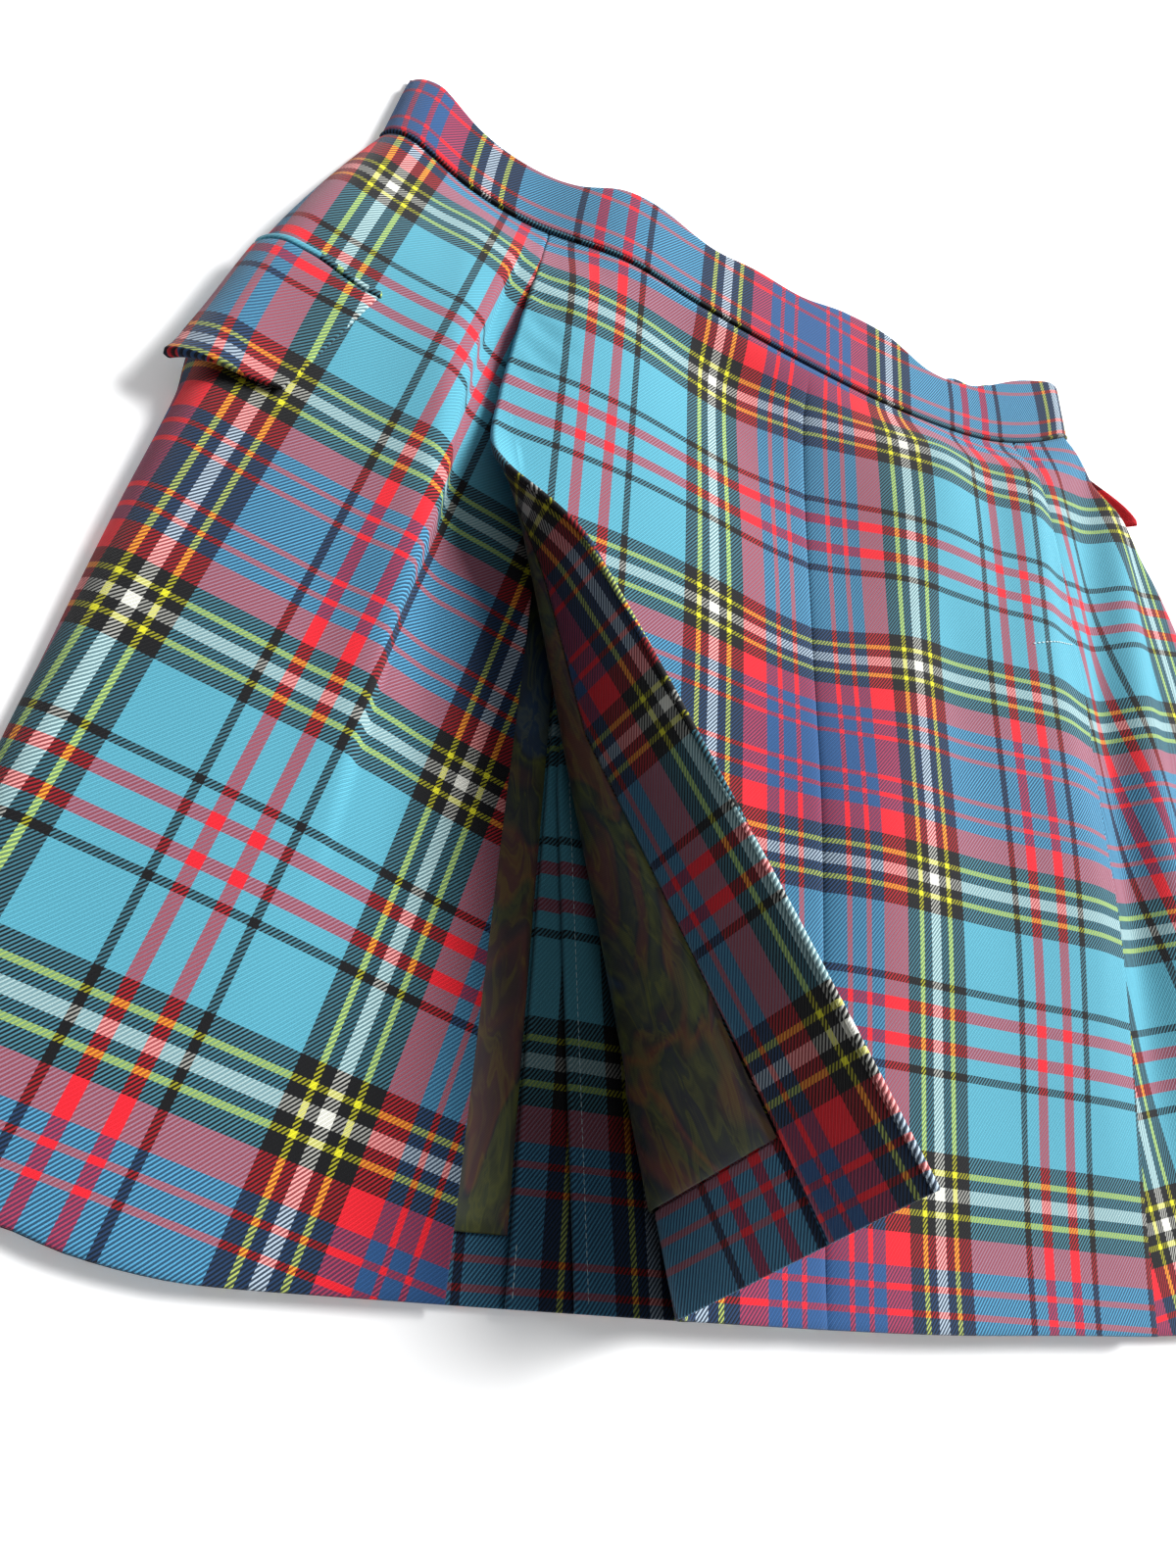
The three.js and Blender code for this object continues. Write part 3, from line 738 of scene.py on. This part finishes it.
# %% Side panels
side_areas, panels = {}, {}
for side, word in ((-1, "left"), (1, "right")):
    rows = edge_steps(150, CLOTH, SIDE_LONG, end=False)
    share_in = np.linspace(0, 1, ARC_STEPS)
    share_on = np.concatenate([np.linspace(0, 1, 84 if side < 0 else 56)[1:-1], [0.994, 0.997, 0.999, 1.0]])
    y = np.repeat(rows[:, None], len(share_in) + len(share_on), 1)
    for _ in range(SETTLING):
        arc = rim_arc(side, y)
        across = side * side_edge(side, y) - (CLOTH / 2 + HIP_ROLL) - pleat_edge(y)
        q = np.concatenate([arc[:, :ARC_STEPS] * share_in,
                            arc[:, ARC_STEPS:] + across[:, ARC_STEPS:] * share_on], 1)
        p = rim_point(side, y, q)
        y = from_hem(p[..., 0], rows[:, None] / SIDE_LONG * (waist_seam(p[..., 0]) - SEAM_HALF))
    grid = rim_point(side, y, q)
    roll_start = side_edge(side, y) - side * (CLOTH / 2 + HIP_ROLL)
    unrolled = np.where(q < rim_arc(side, y), roll_start + side * (rim_arc(side, y) - q), grid[..., 0])
    inner = np.abs(q[:, -1:] - q)
    thin = rounded(inner, CLOTH) * rounded(rows[:, None], CLOTH)
    flat = grain_side(side, unrolled, y)
    if side > 0:
        grid, thin, flat = grid[:, ::-1], thin[:, ::-1], flat[:, ::-1]
    piece = make_shell(f"{word}_side_cloth", grid, CLOTH, flat, TWILL, thin)
    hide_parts(f"{word}_side_panel")
    panels[word], side_areas[word] = piece, smooth_area(grid)

# %% [markdown]
# Under the apron the cloth goes on as knife pleats: it doubles back, comes forward to a pressed
# fold, and doubles back again. One long section, swept from hem to hip, makes both pleats at once.


# %% Knife pleats
FIRST_FOLD, FIRST_BACK, SECOND_BACK = -98.8, -88.7, -62.7
LAYERS, FOLD_HALF = (2.3, 3.7, 5.1, 6.5, 7.9), 0.7


def second_fold(y):
    return -80.5 - 0.112 * np.minimum(y, 150)


def pleat_section(y):
    """Points of the folded cloth and their place on it, from the hidden layer to the top one."""
    path, place = [], []

    def straight(x0, x1, z, u, n=8):
        for t in np.linspace(0, 1, n):
            path.append((mix(x0, x1, t), z))
            place.append(u + abs(x1 - x0) * t)

    def bend(x, z, way, u, v):
        for t in np.linspace(0, 1, 9)[1:-1]:
            a = t * math.pi
            path.append((x + way * FOLD_HALF * math.sin(a), z + FOLD_HALF * (1 - math.cos(a))))
            place.append(mix(u, v, t))

    second, arc = float(second_fold(y)) + FOLD_HALF, FOLD_HALF * math.pi
    on_first, on_second = FIRST_FOLD + 130.5, second + 108.5 + 0.112 * min(y, 150)
    back_first = on_first - arc - (FIRST_BACK - FIRST_FOLD)
    back_second = on_second - arc - (SECOND_BACK - second)
    straight(-126, FIRST_BACK, LAYERS[0], 2.0)
    bend(FIRST_BACK, LAYERS[0], 1, 39.3, back_first)
    straight(FIRST_BACK, FIRST_FOLD, LAYERS[1], back_first)
    bend(FIRST_FOLD, LAYERS[1], -1, on_first - arc, on_first)
    straight(FIRST_FOLD, SECOND_BACK, LAYERS[2], on_first, 22)
    bend(SECOND_BACK, LAYERS[2], 1, 67.8, back_second)
    straight(SECOND_BACK, second, LAYERS[3], back_second)
    bend(second, LAYERS[3], -1, on_second - arc, on_second)
    straight(second, -30, LAYERS[4], on_second, 26)
    return path, place


pleat_area = {}
for side, word in ((-1, "left"), (1, "right")):
    rows = edge_steps(70, THIN, PLEAT_TOP)
    grid, flat = [], []
    for y in rows:
        path, place = pleat_section(float(y))
        grid.append([(-side * x, float(from_hem(-side * x, y)), z) for x, z in path])
        flat.append([(-side * u, y - CHECK_UP - 23) for u in place])
    grid, flat = np.array(grid), np.array(flat)
    if side > 0:
        grid, flat = grid[:, ::-1], flat[:, ::-1]
    thin = np.repeat((rounded(rows, THIN) * rounded(PLEAT_TOP - rows, THIN))[:, None], grid.shape[1], 1)
    piece = make_shell(f"{word}_pleated_cloth", grid, THIN, flat, TWILL_PAINTED_SHADE, thin)
    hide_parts(f"{word}_pleats")
    panels[f"{word}_pleats"], pleat_area[word] = piece, smooth_area(grid)

# %% [markdown]
# A narrow strip of lining lies beside the left pleats and shows in the opening. It rests flat, so a
# plain strip of points is enough; the zip's tape is made by the same helper.


# %% Strip of lining
def flat_strip(across, rows, height):
    X, Y = np.meshgrid(across, rows)
    return np.stack([X, Y, height + 0 * X], -1)


STRIP_WIDE, STRIP_LONG, STRIP_FOOT = 34.3, 240.0, 18.0
rows, across = STRIP_FOOT + edge_steps(60, THIN, STRIP_LONG), edge_steps(14, THIN, STRIP_WIDE)
grid = flat_strip(-135 + across, rows, 3.6 + 0.12 * np.sin(rows / 21)[:, None])
thin = rounded(STRIP_WIDE - across, THIN)[None, :] * rounded(rows - STRIP_FOOT, THIN)[:, None]
strip = make_shell("pleat_lining_satin", grid, THIN, grid[..., :2] + np.array([300, 40]), SATIN, thin)
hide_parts("pleat_lining")
strip_area = smooth_area(grid)

# %% [markdown]
# The back lies on the table: two flat panels with a seam between them and, behind the seam, the
# tape of the zip. Only their rims show from above.

# %% Back panels and zip tape
back_area = {}
for side, word in ((-1, "left"), (1, "right")):
    rows = edge_steps(90, CLOTH, SIDE_LONG, end=False)
    share = np.linspace(0, 1, 40)
    y = np.repeat(rows[:, None], 40, 1)
    for _ in range(SETTLING):
        x = mix(side_edge(side, y), CENTRE_BACK + side * GAP / 2, share)
        y = from_hem(x, rows[:, None] / SIDE_LONG * (waist_seam(x) - SEAM_HALF))
    grid = np.stack([x, y, np.full(x.shape, CLOTH / 2)], -1)
    flat = grain_side(side, x, y)
    if side > 0:
        grid, flat = grid[:, ::-1], flat[:, ::-1]
    piece = make_shell(f"back_{word}_cloth", grid, CLOTH, flat, TWILL)
    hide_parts(f"back_{word}")
    panels[f"back_{word}"], back_area[word] = piece, smooth_area(grid)

rows, across = edge_steps(40, THIN, 155.0), edge_steps(10, THIN, 24.0)
grid = flat_strip(CENTRE_BACK - 12 + across, 200 + rows, 2.0)
zip_tape = make_shell("back_zip_tape", grid, THIN, grid[..., :2], TAPE)
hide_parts("back_zip")

# %% [markdown]
# The waistband is two layers of cloth over a stiffener, so it is thicker and keeps a smooth curve.
# Its front goes over both hips. A line of piping is caught in the seam below it.


# %% Waistband and piping
def waist_height(side, x, y=None):
    return through(WAIST_WAVE, x)


BAND_RIM = BAND + 2 * GAP


def band_grid(shares, low, high, wall):
    """Rows of points over both hips and across the front, for a strip between two curves."""
    t, v = np.linspace(0, 1, ARC_STEPS), shares[:, None]
    ends = []
    for side in (-1, 1):
        arc = rim_arc(side, IN_BAND, BAND_RIM, wall, waist_height)
        y = np.full((len(shares), ARC_STEPS), IN_BAND)
        for _ in range(SETTLING):
            p = rim_point(side, y, t * arc, BAND_RIM, wall, waist_height)
            y = mix(low(p[..., 0]), high(p[..., 0]), v)
        ends.append(rim_point(side, y, t * arc, BAND_RIM, wall, waist_height))
    x = mix(ends[0][:, -1:, 0] + 1.5, ends[1][:, -1:, 0] - 1.5, np.linspace(0, 1, 125))
    y = mix(low(x), high(x), v)
    front = np.stack([x, y, waist_height(0, x) + wall / 2], -1)
    return np.concatenate([ends[0], front, ends[1][:, ::-1]], 1)


def along_row(grid):
    """Distance along each row of points, from the crease."""
    step = np.linalg.norm(np.diff(grid, axis=1), axis=-1)
    run = np.concatenate([np.zeros((grid.shape[0], 1)), np.cumsum(step, 1)], 1)
    centre = np.argmin(np.abs(grid[0, :, 0]))
    return run - run[:, centre:centre + 1]


shares = edge_steps(16, BAND, BAND_HIGH) / BAND_HIGH
grid = band_grid(shares, lambda x: waist_seam(x) + SEAM_HALF, band_top, BAND)
thin = np.repeat(rounded(np.minimum(shares, 1 - shares) * BAND_HIGH, BAND)[:, None], grid.shape[1], 1)
run = along_row(grid)
flat = np.stack([run - CHECK_ACROSS, grid[..., 1] - waist_seam(grid[..., 0]) + SEAM_AT_CREASE - CHECK_UP], -1)
band = make_shell("waistband_front_cloth", grid, BAND, flat, TWILL, thin)
band_area = smooth_area(grid)
shares = np.array([0, 0.08, 0.25, 0.5, 0.75, 0.92, 1.0])
grid = band_grid(shares, lambda x: waist_seam(x) - PIPING_HALF, lambda x: waist_seam(x) + PIPING_HALF, BAND)
grid = grid + facings(grid) * 0.45
piping_wide = 2 * PIPING_HALF
thin = rounded(np.minimum(shares, 1 - shares) * piping_wide, piping_wide)
thin = np.repeat(thin[:, None], grid.shape[1], 1)
run = along_row(grid)
flat = np.stack([run - CHECK_ACROSS, 41.4 + grid[..., 1] - waist_seam(grid[..., 0])], -1)
piping = make_shell("waist_piping_cord", grid, BAND, flat, TWILL, thin)
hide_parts("waistband_front")
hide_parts("waist_piping")

for side, word in ((-1, "left"), (1, "right")):
    shares = edge_steps(14, BAND, BACK_BAND_HIGH) / BACK_BAND_HIGH
    share = np.linspace(0, 1, 60)
    y = np.full((len(shares), 60), IN_BAND)
    for _ in range(SETTLING):
        x = mix(side_edge(side, y), CENTRE_BACK + side * GAP / 2, share)
        y = mix(waist_seam(x) + SEAM_HALF, back_band_top(x), shares[:, None])
    grid = np.stack([x, y, np.full(x.shape, BAND / 2)], -1)
    thin = np.repeat(rounded(np.minimum(shares, 1 - shares) * BACK_BAND_HIGH, BAND)[:, None], 60, 1)
    flat = np.stack([x + 140.0, y - waist_seam(x) + SEAM_AT_CREASE - CHECK_UP], -1)
    if side > 0:
        grid, flat = grid[:, ::-1], flat[:, ::-1]
    piece = make_shell(f"waistband_back_{word}_cloth", grid, BAND, flat, TWILL, thin)
    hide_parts(f"waistband_back_{word}")
    panels[f"band_{word}"] = piece
    back_area[f"band_{word}"] = smooth_area(grid)

# %% [markdown]
# A shaped flap lies over each hip under a narrow welt. The left one follows the panel round the
# side, and its lower corner curls away. Of the right one only the end shows.

# %% Hip flaps
FLAP, FLAP_WIDE, FLAP_HIGH, WELT_HIGH, END_WIDE, END_HIGH = 1.8, 38.0, 52.0, 2.6, 12.0, 32.0
ON_PANEL = CLOTH / 2 + GAP + FLAP / 2


def on_left_panel(q, y, out):
    e = 0.4
    p = rim_point(-1, y, q)
    n = np.cross(rim_point(-1, y, q + e) - rim_point(-1, y, np.maximum(q - e, 0)),
                 rim_point(-1, y + e, q) - rim_point(-1, y - e, q))
    n /= np.linalg.norm(n, axis=-1, keepdims=True)
    return p + n * np.asarray(out)[..., None]


def from_rim(x, y):
    return rim_arc(-1, y) - (side_edge(-1, y) + CLOTH / 2 + HIP_ROLL - x)


FLAP_TOP = [(0, 307), (0.46, 305), (1, 297)]
t = edge_steps(40, FLAP, FLAP_WIDE) / FLAP_WIDE
v = edge_steps(40, FLAP, FLAP_HIGH) / FLAP_HIGH
T, V = np.meshgrid(t, v)
high_x, high_y = mix(-217, -180, T), through(FLAP_TOP, T)
low_x, low_y = mix(-232, -203, T), through([(0, 250), (0.3, 249), (1, 249)], T)
fx, fy = mix(high_x, low_x, V), mix(high_y, low_y, V)
q = mix(rim_arc(-1, fy) * 0.35, from_rim(mix(-180, -203, V), fy), T)
plump = 1.1 * (1 - T) ** 3 * V**2
lift = ON_PANEL + 6.0 * (1 - T) ** 2.2 * V**4 + 1.3 * V**6 + FLAP / 2 * plump
grid = on_left_panel(q, fy, lift)[::-1]


def round_rim(wide, high):
    return rounded(np.minimum(T, 1 - T) * wide, FLAP) * rounded(np.minimum(V, 1 - V) * high, FLAP)


thin = ((1 + plump) * round_rim(FLAP_WIDE, FLAP_HIGH))[::-1]
flat = grain_side(-1, fx - 13, fy + 5)[::-1]
flap = make_shell("left_hip_flap_cloth", grid, FLAP, flat, TWILL, thin)
flap_area = smooth_area(grid)

v = np.array([0, 0.08, 0.25, 0.5, 0.75, 0.92, 1.0])
T, V = np.meshgrid(t, v)
wy = through(FLAP_TOP, T) + GAP + WELT_HIGH * V
q = mix(rim_arc(-1, wy) * 0.35, from_rim(-179.0, wy), T)
grid = on_left_panel(q, wy, np.full(T.shape, ON_PANEL))
flat = np.stack([FLAP_WIDE * T + 20, 25 + WELT_HIGH * V], -1)
welt = make_shell("left_flap_welt_cloth", grid, FLAP, flat, TWILL, round_rim(FLAP_WIDE, WELT_HIGH))

v = edge_steps(24, FLAP, END_HIGH) / END_HIGH
t = edge_steps(10, FLAP, END_WIDE) / END_WIDE
T, V = np.meshgrid(t, v)
fy = mix(361, 389, V)
out = 9 * ease(1 - V) ** 0.7 * ease((V + 0.25) / 0.4)
grid = np.stack([side_edge(1, fy) + 2.2 + out * T + 1.2 * T, fy, 2.6 + 8.0 * T * ease(1.15 - V)], -1)
flat = np.stack([62.5 + 11 * T, 73.5 - 15 * V], -1)
far_flap = make_shell("right_hip_flap_cloth", grid, FLAP, flat, TWILL, round_rim(END_WIDE, END_HIGH))
for piece, node, slot in ((flap, "left_hip_flap", "check_twill"), (welt, "left_flap_welt", "edging"),
                          (far_flap, "right_hip_flap", "check_twill")):
    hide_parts(node)


# %% [markdown]
# Sewing that shows is made stitch by stitch: short rods of thread with a gap between them, half
# sunk in the cloth. Both pleats are stitched just inside their folds, and a row of back stitches
# holds the right pleat closed at the hip.

# %% Stitches
def sew(name, points, length=2.2, gap=0.8, thick=0.22):
    """A row of stitches along a line of points in mm, each a rod with six sides and blunt ends."""
    points = np.array(points, float)
    run = np.concatenate([[0], np.cumsum(np.linalg.norm(np.diff(points, axis=0), axis=1))])
    verts, faces = [], []
    for s in np.arange(0.3, run[-1] - length, length + gap):
        ends = [np.array([np.interp(v, run, points[:, k]) for k in range(3)])
                for v in (s, s + 0.2 * length, s + 0.8 * length, s + length)]
        way = (ends[-1] - ends[0]) / np.linalg.norm(ends[-1] - ends[0])
        side = np.cross(way, (0, 0, 1.0))
        side /= np.linalg.norm(side)
        top = np.cross(side, way)
        first = len(verts)
        for p, size in zip(ends, (0.35, 1.0, 1.0, 0.35)):
            for a in np.arange(6) * math.pi / 3:
                verts.append(p + size * thick * (math.cos(a) * side + math.sin(a) * top))
        for ring in range(3):
            for k in range(6):
                a, b = first + ring * 6 + k, first + ring * 6 + (k + 1) % 6
                faces.append((a, b, b + 6, a + 6))
        faces.append(tuple(first + k for k in range(5, -1, -1)))
        faces.append(tuple(first + 18 + k for k in range(6)))
    mesh = bpy.data.meshes.new(name)
    mesh.from_pydata(((np.array(verts) - SHIFT) / 1000).tolist(), [], faces)
    mesh.uv_layers.new(name="cloth")
    mesh.polygons.foreach_set("use_smooth", [True] * len(faces))
    mesh.materials.append(STITCHING)
    piece = bpy.data.objects.new(name, mesh)
    bpy.context.scene.collection.objects.link(piece)
    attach(piece, "root")
    print(f"{name}: {len(faces) // 20} stitches")
    return piece


low_line, long_line = np.linspace(2.5, 18, 8), np.linspace(2.5, 250, 80)
on_layer = THIN / 2 + 0.01
sew("first_pleat_stitches", [(FIRST_FOLD + 0.2, y, LAYERS[2] + on_layer) for y in low_line], 1.7, 0.6, 0.13)
sew("second_pleat_stitches", [(float(second_fold(y)) + 3.2, y, LAYERS[4] + on_layer) for y in long_line],
    1.7, 0.6, 0.1)
tack = [apron_point(mix(102.5, 131, t), mix(259, 269.5, t)) + np.array([0, 0, CLOTH / 2 + 0.1])
        for t in np.linspace(0, 1, 20)]
sew("right_pleat_tack", tack, 1.7, 0.6, 0.3)

# %% [markdown]
# The size that each main sheet of cloth was cut to is printed with its area. Seam allowances that
# can't be seen aren't counted.


# %% Cut sizes
def declare(piece, width, length, area):
    print(f"{piece.name}: {width:.0f} x {length:.0f} mm, {area * 1e4:.0f} cm2")


declare(apron, 302, 378, apron_area)
declare(facing, 40, 264, facing_area)
declare(turnup, 115, 27, turnup_area)
declare(lining, 115, 216, lining_area)
for word in ("left", "right"):
    declare(panels[word], 158, 396, side_areas[word])
    declare(panels[f"{word}_pleats"], 200, 262, pleat_area[word])
    declare(panels[f"back_{word}"], 296, 396, back_area[word])
    declare(panels[f"band_{word}"], 186, 46, back_area[f"band_{word}"])
declare(strip, 34.3, 240, strip_area)
declare(band, 366, 40, band_area)
declare(flap, 50, 58, flap_area)

# %% [markdown]
# A plain pale table under one big soft light, high up beyond the right hip, like a window. The room
# itself is brighter on that side and above, and dark low down on the other, so the waves and the
# opening keep a soft shade. The camera stands over the hem's left corner and looks up the kilt.

# %% Table, light and camera
table_mesh = bpy.data.meshes.new("table")
table_mesh.from_pydata([(-3, -3, 0), (3, -3, 0), (3, 3, 0), (-3, 3, 0)], [], [(0, 1, 2, 3)])
table = bpy.data.objects.new("table", table_mesh)
table.location.z = -0.0002
bpy.context.scene.collection.objects.link(table)
pale, tree, skin = new_material("pale table")
grain = add_node(tree, "ShaderNodeTexNoise", {"Scale": 40.0})
tone = add_node(tree, "ShaderNodeMapRange", {0: grain.outputs[0], 3: 0.9, 4: 0.94}).outputs[0]
tree.links.new(grey_of(tree, tone), skin.inputs["Base Color"])
surface(skin, {"Roughness": 0.9, "Emission Color": (1.0, 1.0, 1.0, 1.0), "Emission Strength": 0.25})
table_mesh.materials.append(pale)

world = bpy.data.worlds.new("room")
bpy.context.scene.world = world
world.use_nodes = True
sky = world.node_tree
sky.nodes["Background"].inputs[0].default_value = (0.95, 0.97, 1.0, 1.0)
to_window = (0.42, 0.45, 0.79)
seen_way = add_node(sky, "ShaderNodeTexCoord").outputs["Generated"]
toward = add_node(sky, "ShaderNodeVectorMath", {0: seen_way, 1: to_window}, operation="DOT_PRODUCT")
bright = add_node(sky, "ShaderNodeMapRange", {0: toward.outputs["Value"], 1: 0.0, 2: 1.0, 3: 0.0, 4: 0.5})
sky.links.new(bright.outputs[0], sky.nodes["Background"].inputs[1])


def soft_light(name, place, aim, size, power):
    lamp = bpy.data.lights.new(name, "AREA")
    lamp.size, lamp.energy = size, power
    holder = bpy.data.objects.new(name, lamp)
    holder.location = place
    way = np.array(aim) - np.array(place)
    holder.rotation_euler = (math.atan2(math.hypot(way[0], way[1]), -way[2]), 0,
                             math.atan2(way[0], -way[1]) + math.pi)
    bpy.context.scene.collection.objects.link(holder)


soft_light("window", (2.9, 1.9, 3.2), (0.0, 0, 0), 2.1, 474)

camera_data = bpy.data.cameras.new("camera")
camera_data.lens, camera_data.sensor_width, camera_data.clip_start = 27.0, 36.0, 0.01
camera = bpy.data.objects.new("camera", camera_data)
right = (0.88590346, 0.0587398, 0.46013552)
down = (0.23614532, -0.9109015, -0.33836939)
ahead = (0.39926238, 0.40842147, -0.82084192)
eye = (np.array([-235.1, 1.03, 300.44 + 11.0]) - SHIFT) / 1000
camera.matrix_world = Matrix([[right[k], -down[k], -ahead[k], eye[k]] for k in range(3)] + [[0, 0, 0, 1]])
bpy.context.scene.collection.objects.link(camera)
bpy.context.scene.camera = camera
bpy.context.scene.view_settings.view_transform = "Standard"
